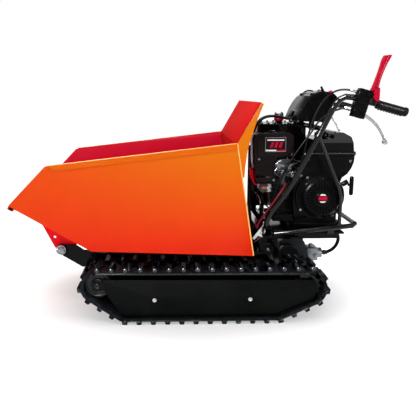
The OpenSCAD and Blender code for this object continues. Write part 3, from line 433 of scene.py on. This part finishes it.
def circle(bm, c, u, v, r, n):
    """Points round c, in the plane of the unit vectors u and v."""
    return [bm.verts.new(c + r * (math.cos(a) * u + math.sin(a) * v))
            for a in (2 * math.pi * k / n for k in range(n))]


def ring(bm, center, direction, r, n):
    """Circle of points about a direction."""
    _, u, v = side_frame(direction)
    return circle(bm, Vector(center), u, v, r, n)


def skin(bm, rings):
    """Closed tube through rings of as many points each."""
    n = len(rings[0])
    for a, b in zip(rings, rings[1:]):
        for k in range(n):
            bm.faces.new((a[k], a[(k + 1) % n], b[(k + 1) % n], b[k]))
    bm.faces.new(rings[0][::-1])
    bm.faces.new(rings[-1])


def smooth_path(points, steps=6):
    """Catmull-Rom points through the given ones."""
    p = [Vector(q) for q in points]
    p = [2 * p[0] - p[1]] + p + [2 * p[-1] - p[-2]]
    out = []
    for i in range(1, len(p) - 2):
        for k in range(steps):
            t = k / steps
            out.append(0.5 * ((2 * p[i]) + (p[i + 1] - p[i - 1]) * t
                              + (2 * p[i - 1] - 5 * p[i] + 4 * p[i + 1] - p[i + 2]) * t * t
                              + (3 * p[i] - p[i - 1] - 3 * p[i + 1] + p[i + 2]) * t ** 3))
    return out + [p[-2]]


def hose(bm, path, r, n=14):
    """Round tube along a path. r is a number or a function of the place along it, 0 to 1."""
    u = None
    rings = []
    for i, c in enumerate(path):
        d = (path[min(i + 1, len(path) - 1)] - path[max(i - 1, 0)]).normalized()
        if u is None:
            u = side_frame(d)[1]
        u = (u - d * u.dot(d)).normalized()
        v = d.cross(u)
        w = r(i / (len(path) - 1)) if callable(r) else r
        rings.append(circle(bm, c, u, v, w, n))
    skin(bm, rings)


def lathe(bm, base, direction, profile, n=32):
    """Solid of revolution: profile holds (distance along direction, radius)."""
    d = Vector(direction).normalized()
    rings = [ring(bm, Vector(base) + s * d, d, max(r, 1e-5), n) for s, r in profile]
    skin(bm, rings)


def slab(bm, outline, y0, y1):
    """Outline in X and Z, extruded along Y."""
    a = [bm.verts.new((x, y0, z)) for x, z in outline]
    b = [bm.verts.new((x, y1, z)) for x, z in outline]
    n = len(outline)
    bm.faces.new(a)
    bm.faces.new(b[::-1])
    for k in range(n):
        bm.faces.new((a[k], b[k], b[(k + 1) % n], a[(k + 1) % n]))


def block(bm, lo, hi):
    """Flat bar or plate between two opposite corners."""
    slab(bm, [(lo[0], lo[2]), (hi[0], lo[2]), (hi[0], hi[2]), (lo[0], hi[2])], lo[1], hi[1])


def hex_bolt(bm, base, direction, r, h):
    """Bolt head with a chamfered top, on a washer."""
    lathe(bm, base, direction, [(0, r * 1.45), (0.12 * r, r * 1.45), (0.16 * r, r * 1.35)], 24)
    lathe(bm, base, direction, [(0.1 * r, r), (h * 0.8, r), (h, r * 0.82)], 6)


def bez(a, b, c, d, n):
    """Points along a cubic Bezier curve."""
    a, b, c, d = map(Vector, (a, b, c, d))
    return [(1 - t) ** 3 * a + 3 * (1 - t) ** 2 * t * b + 3 * (1 - t) * t * t * c + t ** 3 * d
            for t in (k / n for k in range(n + 1))]


def mm(*v):
    """Millimetres to metres."""
    return tuple(x / 1000 for x in v)


def flip(path):
    """The path mirrored to the other side of the machine."""
    return [Vector((p.x, -p.y, p.z)) for p in path]


# ---- handlebar pieces ----

GRIP_FALL = math.radians(15.2)
GRIP_DIR = Vector((math.cos(GRIP_FALL), 0, -math.sin(GRIP_FALL)))
GRIP_UP = Vector((math.sin(GRIP_FALL), 0, math.cos(GRIP_FALL)))
GRIP_END = Vector(mm(816, -281, 883))
BAR_Y = 0.281                           # the handlebar ends, from the middle of the machine


def on_grip(s, up=0.0, y=0.0):
    """A point s back from the end of the left grip, up square to it, metres."""
    return GRIP_END - s * GRIP_DIR + up * GRIP_UP + Vector((0, y, 0))


def make_grips():
    """Ribbed rubber grips with an end flange, a thumb flange and ridges for the fingers."""
    bm = bmesh.new()
    for side in (1, -1):
        base = on_grip(0.134)
        base.y *= side
        profile = [(0.0, 0.0128), (0.0, 0.0186), (0.002, 0.0194), (0.005, 0.0194), (0.007, 0.0168)]
        s = 0.010
        while s < 0.112:
            profile += [(s, 0.0160), (s + 0.0012, 0.0172), (s + 0.0034, 0.0172), (s + 0.0046, 0.0160)]
            s += 0.0058
        profile += [(0.117, 0.0162), (0.119, 0.0188), (0.127, 0.0190), (0.130, 0.0178), (0.1325, 0.0140),
                    (0.134, 0.006)]
        lathe(bm, base, GRIP_DIR, profile, 40)
        # finger ridges under the grip
        for k in range(9):
            c = base + (0.014 + 0.012 * k) * GRIP_DIR - 0.0178 * GRIP_UP
            hose(bm, [c + Vector((0, w, 0)) + 0.0024 * (1 - abs(w) / 0.01) * -GRIP_UP
                      for w in (-0.010, -0.005, 0, 0.005, 0.010)], 0.0024, 10)
    put("grip_rubber", bm, "rubber", replaces=("grips",))


def make_cables():
    """Bowden cables from the lever clamps down to the tie beam, with their ferrules."""
    bm = bmesh.new()
    metal = bmesh.new()
    up_end, low_end = (on_grip(0.196, up, 0.006) - 0.034 * GRIP_DIR + Vector(mm(-2.5, 0, 0.7))
                       for up in (0.026, -0.046))
    a = bez(up_end, up_end + Vector(mm(-44, 2, 11)), mm(525, -224, 985), mm(488, -206, 925), 24)
    a += bez(mm(487, -205.5, 923), mm(458, -192, 875), mm(440, -196, 820), mm(418, -200, 700), 20)
    a += bez(mm(416, -200, 692), mm(382, -200, 560), mm(262, -196, 480), mm(256, -192, 388), 24)
    b = bez(low_end, low_end + Vector(mm(-32, 8, 8)), mm(503, -216, 884), mm(461, -206, 826), 24)
    b += bez(mm(459.5, -206, 822), mm(440, -202, 772), mm(300, -190, 640), mm(274, -186, 388), 30)
    for path in (a, b):
        for p in (path, flip(path)):
            hose(bm, p, 0.004, 12)
            d = p[1] - p[0]
            lathe(metal, p[0] - 0.004 * d.normalized(), d,
                  [(0, 0.0046), (0, 0.0066), (0.007, 0.0066), (0.008, 0.0052), (0.014, 0.0052),
                   (0.015, 0.0064), (0.021, 0.0064), (0.024, 0.0048)], 16)
            lathe(metal, (p[-1].x, p[-1].y, 0.3852), (0, 0, 1),
                  [(0, 0.0075), (0.003, 0.0075), (0.0035, 0.0056), (0.015, 0.0056), (0.017, 0.0045)], 16)
    put("cable_sheaths", bm, "sheath", replaces=("control_cables",))
    put("cable_ferrules", metal, "zinc")


def make_hoses():
    """Hydraulic hoses with crimped ends."""
    bm = bmesh.new()
    metal = bmesh.new()
    paths = [(bez(mm(577.5, 0, 196), mm(668, -18, 196), mm(664, -46, 330), mm(600, -56, 318), 30)
              + [Vector(mm(600, -56, 336))], 0.008),
             (bez(mm(300, 150, 699.5), mm(300, 150, 600), mm(314, 150, 460), mm(308, 150, 366), 30), 0.009)]
    for k in (0, 20):
        line = (bez(mm(469.5, -10, 888), mm(440, -10, 888), mm(440, -12, 848), mm(396, -14, 846), 14)
                + bez(mm(388, -14, 845.7), mm(340, -15, 856), mm(222, -22, 900), mm(222, -38, 720), 26)
                + bez(mm(222, -38.4, 704), mm(214, -42, 600), mm(206, -46, 500), mm(218, -44, 400), 16)
                + bez(mm(219, -44, 390), mm(232, -40, 260), mm(248, -10, 82), mm(201.5, -10, 82), 22))
        paths.append(([p + Vector((0, k / 1000, 0)) for p in line], 0.006))
    for path, r in paths:
        hose(bm, path, r, 14)
        for end, nxt in ((0, 1), (-1, -2)):
            d = path[nxt] - path[end]
            lathe(metal, path[end], d, [(0, r * 1.25), (0.010, r * 1.25), (0.0105, r * 1.5), (0.018, r * 1.5),
                                        (0.019, r * 1.2), (0.030, r * 1.15)], 6 if end else 16)
    lathe(metal, mm(308, 150, 348.2), (0, 0, 1), [(0, 0.015), (0.010, 0.015), (0.011, 0.012), (0.022, 0.012)], 6)
    put("hose_lines", bm, "rubber", replaces=("hydraulic_hoses",))
    put("hose_fittings", metal, "steel")


# ---- engine pieces ----

CRANK = (0.506, 0.511)


def polar(r, a):
    """Point in X and Z about the crankshaft."""
    return (CRANK[0] + r * math.cos(a), CRANK[1] + r * math.sin(a))


def make_recoil_badge():
    """Plain round badge of a red band between two white segments, with no lettering."""
    bm = bmesh.new()
    lathe(bm, (CRANK[0], -0.2125, CRANK[1]), (0, -1, 0),
          [(0, 0.029), (0.0015, 0.029), (0.003, 0.0275), (0.003, 0.021), (0.002, 0.0205)], 48)
    put("badge_ring", bm, "plastic")
    for name, material, lo, hi in (("badge_red", "lever", -0.42, 0.42), ("badge_top", "white", 0.72, 1.3),
                                   ("badge_low", "white", -1.3, -0.72)):
        bm = bmesh.new()
        r = 0.0195
        right = [polar(r, lo + (hi - lo) * k / 12) for k in range(13)]
        left = [(2 * CRANK[0] - x, z) for x, z in reversed(right)]
        slab(bm, right + left, -0.2163, -0.2152)
        put(name, bm, material, smooth=False)


def make_label():
    """Generic striped plate on the air cleaner."""
    y = -0.1742
    front, back = y - 0.0006, y + 0.0004
    lo, hi = (0.252, 0.707), (0.350, 0.777)
    inset, t = 0.004, 0.0016
    bm = bmesh.new()
    for a, b in (((lo[0] + inset, lo[1] + inset), (hi[0] - inset, lo[1] + inset + t)),
                 ((lo[0] + inset, hi[1] - inset - t), (hi[0] - inset, hi[1] - inset)),
                 ((lo[0] + inset, lo[1] + inset), (lo[0] + inset + t, hi[1] - inset)),
                 ((hi[0] - inset - t, lo[1] + inset), (hi[0] - inset, hi[1] - inset))):
        block(bm, (a[0], front, a[1]), (b[0], back, b[1]))
    put("label_frame", bm, "silver", smooth=False)
    bm = bmesh.new()
    block(bm, (lo[0] + .012, front, hi[1] - .018), (hi[0] - .012, back, hi[1] - .0125))
    block(bm, (lo[0] + .007, front, lo[1] + .007), (lo[0] + .052, back, lo[1] + .013))
    put("label_lines", bm, "white", smooth=False)
    bm = bmesh.new()
    for k in range(3):
        x = lo[0] + .024 + .019 * k
        slab(bm, [(x, lo[1] + .022), (x + .011, lo[1] + .022), (x + .019, lo[1] + .046),
                  (x + .008, lo[1] + .046)], front, back)
    block(bm, (lo[0] + .052, front, lo[1] + .007), (hi[0] - .007, back, lo[1] + .013))
    put("label_stripes", bm, "lever", smooth=False)


def make_bolts():
    """Bolt heads on the near side, the cover bolts and the idler caps."""
    bm = bmesh.new()
    for a in (35, 125, 215, 305):
        x, z = polar(0.1035, math.radians(a))
        hex_bolt(bm, (x, -0.175, z), (0, -1, 0), 0.0045, 0.005)
    for x, z in ((0.232, 0.676), (0.374, 0.700), (0.3, 0.585), (0.42, 0.604), (0.448, 0.676), (0.635, 0.668)):
        hex_bolt(bm, (x, -0.1655, z), (0, -1, 0), 0.004, 0.004)
    for x, z in ((0.470, 0.806), (0.486, 0.806)):
        hex_bolt(bm, (x, -0.118, z), (0, -1, 0), 0.005, 0.005)
    put("bolt_heads", bm, "bolt")
    bm = bmesh.new()
    hub = bmesh.new()
    for side in (-1, 1):
        for x, z in ((-0.224, 0.108), (0.178, 0.108)):
            lathe(bm, (x, side * 0.3462, z), (0, side, 0),
                  [(0, 0.0088), (0.0008, 0.0088), (0.0012, 0.0072), (0.0035, 0.0062), (0.0040, 0.0040),
                   (0.0022, 0.0036)], 24)
        lathe(hub, (-0.462, side * 0.3355, 0.167), (0, side, 0),
              [(0, 0.0118), (0.001, 0.0118), (0.0035, 0.0112), (0.0045, 0.0098), (0.0045, 0.006),
               (0.003, 0.0045)], 32)
    put("cover_bolts", bm, "zinc")
    put("idler_caps", hub, "grey")


def spring(bm, a, b, r, wire, turns):
    """Coil spring from a to b, with 14 points to a turn."""
    a, b = Vector(a), Vector(b)
    _, u, v = side_frame(b - a)
    n = turns * 14
    hose(bm, [a + (b - a) * (k / n) + r * (math.cos(2 * math.pi * k / 14) * u
                                           + math.sin(2 * math.pi * k / 14) * v) for k in range(n + 1)],
         wire, 6)


def make_linkage():
    """Governor arm, rods, springs and clamps between carburettor and blower housing, and the fuel filter."""
    bm = bmesh.new()
    slab(bm, [(0.300, 0.655), (0.306, 0.663), (0.352, 0.651), (0.398, 0.668), (0.402, 0.661), (0.352, 0.640)],
         -0.1785, -0.1765)
    hose(bm, smooth_path([mm(304, -178, 659), mm(330, -179, 676), mm(372, -178, 678), mm(412, -176, 668)]),
         0.0013, 8)
    hose(bm, smooth_path([mm(310, -172, 640), mm(300, -176, 622), mm(318, -176, 606), mm(352, -172, 600)]),
         0.0013, 8)
    spring(bm, mm(356, -176, 612), mm(404, -172, 626), 0.0042, 0.0009, 12)
    spring(bm, mm(312, -178, 632), mm(346, -178, 628), 0.0034, 0.0008, 9)
    for c in (mm(318, -176, 646), mm(366, -174, 640), mm(380, -170, 606), mm(336, -172, 616)):
        hex_bolt(bm, c, (0, -1, 0), 0.0055, 0.006)
    lathe(bm, mm(290, -150, 622), (0, -1, 0), [(0, 0.010), (0.012, 0.010), (0.014, 0.008)], 20)
    put("governor_linkage", bm, "bolt")
    bm = bmesh.new()
    lathe(bm, mm(274, -118, 545), (1, 0, 0), [(0, 0.0215), (0.003, 0.0235), (0.018, 0.0235), (0.021, 0.0215)], 32)
    put("filter_cap", bm, "white")
    bm = bmesh.new()
    lathe(bm, mm(251, -118, 545), (1, 0, 0), [(0, 0.0195), (0.003, 0.0225), (0.022, 0.0225)], 32)
    put("fuel_filter", bm, "orange_dot")


def make_wiring():
    """Leads and lines in front of the engine and along its near side."""
    bm = bmesh.new()
    hose(bm, smooth_path([mm(252, 30, 608), mm(226, 24, 640), mm(230, -20, 676), mm(262, -52, 684)]), 0.0035, 10)
    hose(bm, smooth_path([mm(286, -150, 546), mm(318, -160, 520), mm(352, -166, 500), mm(392, -164, 560),
                          mm(430, -168, 610)]), 0.003, 10)
    hose(bm, smooth_path([mm(262, -122, 526), mm(256, -124, 500), mm(270, -120, 470), mm(300, -112, 440),
                          mm(330, -104, 412)]), 0.0035, 10)
    hose(bm, smooth_path([mm(240, -120, 540), mm(232, -126, 500), mm(252, -130, 460), mm(262, -120, 410)]),
         0.003, 10)
    put("engine_leads", bm, "sheath")


LUG_HIGH, LUG_WIDE = 0.014, 0.012       # how far below the top and in from the side a lug end's points lie
LUG_GAP = 0.030                         # points further apart than this belong to different lugs


def lug_places(name):
    """Middle of each lug end on the top run of a track, read from the CAD mesh."""
    v = nodes[name].data.vertices
    top = max(p.co.z for p in v)
    side = max(abs(p.co.y) for p in v)
    xs = sorted(p.co.x for p in v if p.co.z > top - LUG_HIGH and abs(p.co.y) > side - LUG_WIDE)
    groups = []
    for x in xs:
        if groups and x - groups[-1][-1] < LUG_GAP:
            groups[-1].append(x)
        else:
            groups.append([x])
    return [(min(g) + max(g)) / 2 for g in groups], top, side


def make_lug_ends():
    """Rounded shoulders on the outer ends of the lugs along the top run, in a lighter bluish rubber that is a
    painted highlight.
    """
    profile = [(0, 0.0098), (0.004, 0.0098), (0.0062, 0.0088), (0.0078, 0.0068), (0.0088, 0.0036),
               (0.0090, 0.0004)]
    for name, sign in (("track_left", -1), ("track_right", 1)):
        xs, top, side = lug_places(name)
        bm = bmesh.new()
        for x in xs:
            base = (x, sign * (side - 0.006), top - 0.0105)
            lathe(bm, base, (0, sign, 0), profile, 20)
        put("lug_ends_" + name[6:], bm, "lug")


HALF = 0.325                            # the hopper's half width
RIM_START, RIM_RISE = (-0.658, 0.672), 0.1151358


def top_at(x):
    """Height of the hopper's rim."""
    return RIM_START[1] + (x - RIM_START[0]) * RIM_RISE


def make_hopper_trim():
    """Rolled edges painted light yellow as a painted highlight, rim faces, weld beads and the plugs in the ends
    of the lip, on both sides.
    """
    bm = bmesh.new()
    plug = bmesh.new()
    weld = bmesh.new()
    rim = bmesh.new()
    for s in (-1, 1):
        y = s * (HALF + 0.0005)
        hose(bm, [Vector((x, y, z)) for x, z in
                  ((0.1905, 0.293), (0.154, 0.520), (0.117, 0.748), (0.1155, 0.762))], 0.0030, 10)
        y = s * (HALF + 0.006)
        hose(bm, [Vector((x, y, top_at(x) + 0.0022)) for x in (-0.646, -0.4, -0.15, 0.112)], 0.0017, 8)
        hose(bm, [Vector((x, s * HALF, z)) for x, z in ((0.2085, 0.923), (0.2175, 0.919))], 0.0022, 8)
        hose(weld, [Vector((x, s * (HALF - 0.006), z)) for x, z in
                    ((-0.772, 0.4935), (-0.7, 0.4525), (-0.6, 0.3935), (-0.484, 0.3255), (-0.2, 0.3145),
                     (0.185, 0.300))], 0.0030, 8)
        slab(plug, [(-0.8145, 0.4966), (-0.8098, 0.5060), (-0.7940, 0.4979), (-0.7993, 0.4889)],
             s * (HALF - 0.0066), s * (HALF - 0.0042))
        slab(rim, [(-0.623, top_at(-0.625) - 0.0205), (-0.645, top_at(-0.648) + 0.0015),
                   (0.111, top_at(0.113) + 0.0015), (0.114, top_at(0.113) - 0.0205)],
             s * (HALF + 0.0060), s * (HALF + 0.0066))
    # the rolled edges carry the painted highlight colour
    put("hopper_rolled_edge_highlights", bm, "edge", body="hopper")
    put("hopper_rim_faces", rim, "flange", body="hopper", smooth=False)
    put("hopper_weld_beads", weld, "red", body="hopper")
    put("lip_plugs", plug, "plastic", body="hopper", smooth=False)


def strap(bm, a, b, w, y0, y1):
    """Flat strap between two points in X and Z."""
    a, b = Vector((a[0], a[1])), Vector((b[0], b[1]))
    d = (b - a).normalized()
    n = Vector((-d.y, d.x)) * w / 2
    slab(bm, [tuple(a + n), tuple(b + n), tuple(b - n), tuple(a - n)], y0, y1)


def make_front_linkage():
    """Zinc straps, brackets and rods between the hopper and the engine deck, and the painted ones above."""
    bm = bmesh.new()
    strap(bm, (0.208, 0.330), (0.262, 0.402), 0.011, -0.2115, -0.2085)
    strap(bm, (0.222, 0.352), (0.250, 0.344), 0.013, -0.2085, -0.2060)
    slab(bm, [(0.232, 0.346), (0.258, 0.352), (0.262, 0.366), (0.240, 0.372), (0.230, 0.360)], -0.2060, -0.2030)
    strap(bm, (0.300, 0.4425), (0.324, 0.4425), 0.006, -0.0990, -0.0960)
    for x, z in ((0.214, 0.338), (0.256, 0.394), (0.246, 0.358)):
        hex_bolt(bm, (x, -0.2115, z), (0, -1, 0), 0.0048, 0.0045)
    hose(bm, smooth_path([mm(196, -190, 300), mm(222, -200, 318), mm(246, -206, 344), mm(262, -206, 384)]),
         0.0022, 8)
    hose(bm, smooth_path([mm(226, -96, 520), mm(244, -110, 500), mm(252, -112, 470), mm(246, -108, 440)]),
         0.0022, 8)
    put("front_linkage", bm, "zinc")
    bm = bmesh.new()
    slab(bm, [(0.200, 0.632), (0.214, 0.636), (0.218, 0.600), (0.240, 0.566), (0.238, 0.548), (0.222, 0.556),
              (0.203, 0.590)], -0.112, -0.108)
    for x, z in ((0.208, 0.622), (0.231, 0.560)):
        lathe(bm, (x, -0.112, z), (0, -1, 0), [(0, 0.008), (0.006, 0.008), (0.008, 0.006)], 16)
    put("red_bracket", bm, "red", bev=0.0008)
    bm = bmesh.new()
    hose(bm, smooth_path([mm(226, -199, 388), mm(240, -199, 414), mm(286, -199, 478), mm(330, -199, 546),
                          mm(344, -199, 578)]), 0.0055, 12)
    lathe(bm, mm(226, -199, 388), (-0.45, 0, -0.9), [(0, 0.009), (0.010, 0.009), (0.012, 0.006)], 16)
    put("red_rod", bm, "dark_red")


def make_lever_foot():
    """Two cheek plates that carry the clutch lever on its pin, and a rib along the lever's back."""
    bm = bmesh.new()
    outline = [(0.6670, 0.962), (0.6710, 0.976), (0.6900, 0.984), (0.6905, 0.962), (0.6900, 0.940),
               (0.6870, 0.926), (0.6800, 0.928), (0.6720, 0.9335), (0.6650, 0.9400), (0.6640, 0.950)]
    thick = 0.003
    for out, y in ((-1, -BAR_Y - 0.0178), (1, -BAR_Y + 0.0148)):
        slab(bm, outline, y, y + thick)
        lathe(bm, (0.67175, y + (thick if out > 0 else 0), 0.94706), (0, out, 0),
              [(0, 0.0085), (0.0015, 0.0085), (0.002, 0.007), (0.004, 0.0065)], 20)
    put("clutch_lever_foot", bm, "lever", body="clutch_lever", bev=0.0006)
    bm = bmesh.new()
    hose(bm, smooth_path([mm(x, -291.3, z) for x, z in
                          ((681, 985), (687, 1015), (696, 1045), (706, 1072), (718, 1104))]),
         lambda t: 0.0034 - 0.0012 * t, 10)
    put("clutch_lever_rib", bm, "lever", body="clutch_lever")


def make_steering_knuckles():
    """Pivot heads at the roots of the steering levers."""
    bm = bmesh.new()
    for side in (-1, 1):
        y = side * BAR_Y
        lathe(bm, (0.6209, y - side * 0.0205, 0.8821), (0, side, 0),
              [(0, 0.0062), (0.002, 0.0068), (0.006, 0.0068), (0.0062, 0.0045)], 16)
    put("steering_pivots", bm, "bolt")


def make_tank_breather_band():
    """Red grooved band round the breather of the hydraulic tank."""
    bm = bmesh.new()
    lathe(bm, mm(366, 80, 833), (0, 0, 1),
          [(0, 0.0223), (0.001, 0.0228), (0.009, 0.0228), (0.010, 0.0224), (0.014, 0.0224), (0.015, 0.0228),
           (0.023, 0.0228), (0.024, 0.0223)], 40)
    put("breather_band", bm, "lever")


def make_tank_details():
    """Seam flange along the near side and the rear of the fuel tank, in the lighter bluish rubber that is a
    painted highlight along it.
    """
    bm = bmesh.new()
    for path in (((464, -152.5), (560, -152.5), (662, -152.5)), ((663, -150), (663, 0), (663, 126))):
        hose(bm, [Vector(mm(x, y, 699)) for x, y in path], 0.0026, 10)
    put("tank_seam", bm, "lug")


def make_drum_rim():
    """Machined rim and hub of the brake drum."""
    bm = bmesh.new()
    lathe(bm, mm(392, -112.2, 217), (0, -1, 0),
          [(0, 0.0500), (0.0004, 0.0500), (0.0008, 0.0490), (0.0008, 0.0430), (0.0004, 0.0422)], 64)
    lathe(bm, mm(392, -112.2, 217), (0, -1, 0), [(0, 0.0085), (0.006, 0.0085), (0.0075, 0.0065)], 6)
    put("drum_rim", bm, "grey")


def make_starter_rope():
    """Rope from the guide to the recoil handle, which is pulled along its slide."""
    start, end = Vector(mm(606, -194, 575)), Vector(mm(628, -190, 566))
    bm = bmesh.new()
    steps = 30
    skin(bm, [ring(bm, start.lerp(end, k / steps), (0.8, 0, 0.6), 0.0022, 12) for k in range(steps + 1)])
    rope = put("starter_rope", bm, "sheath", body=None, smooth=False)
    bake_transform(rope)


def make_heat_shield():
    """Flat shield with three ribs, between the splash panel and the muffler."""
    bm = bmesh.new()
    slab(bm, [(0.438, 0.560), (0.516, 0.560), (0.524, 0.572), (0.524, 0.690), (0.516, 0.699), (0.438, 0.699)],
         0.1720, 0.1735)
    for z in (0.588, 0.622, 0.656):
        slab(bm, [(0.450, z), (0.454, z - 0.004), (0.508, z - 0.004), (0.512, z), (0.508, z + 0.004),
                  (0.454, z + 0.004)], 0.1700, 0.1720)
    put("heat_shield", bm, "black", smooth=False)


add_camera()
add_light()
add_floor()
dress_nodes()
make_grips()
make_cables()
make_hoses()
make_recoil_badge()
make_label()
make_bolts()
make_linkage()
make_wiring()
make_lug_ends()
make_hopper_trim()
make_front_linkage()
make_lever_foot()
make_steering_knuckles()
make_tank_breather_band()
make_tank_details()
make_drum_rim()
make_starter_rope()
make_heat_shield()

bpy.context.view_layer.update()
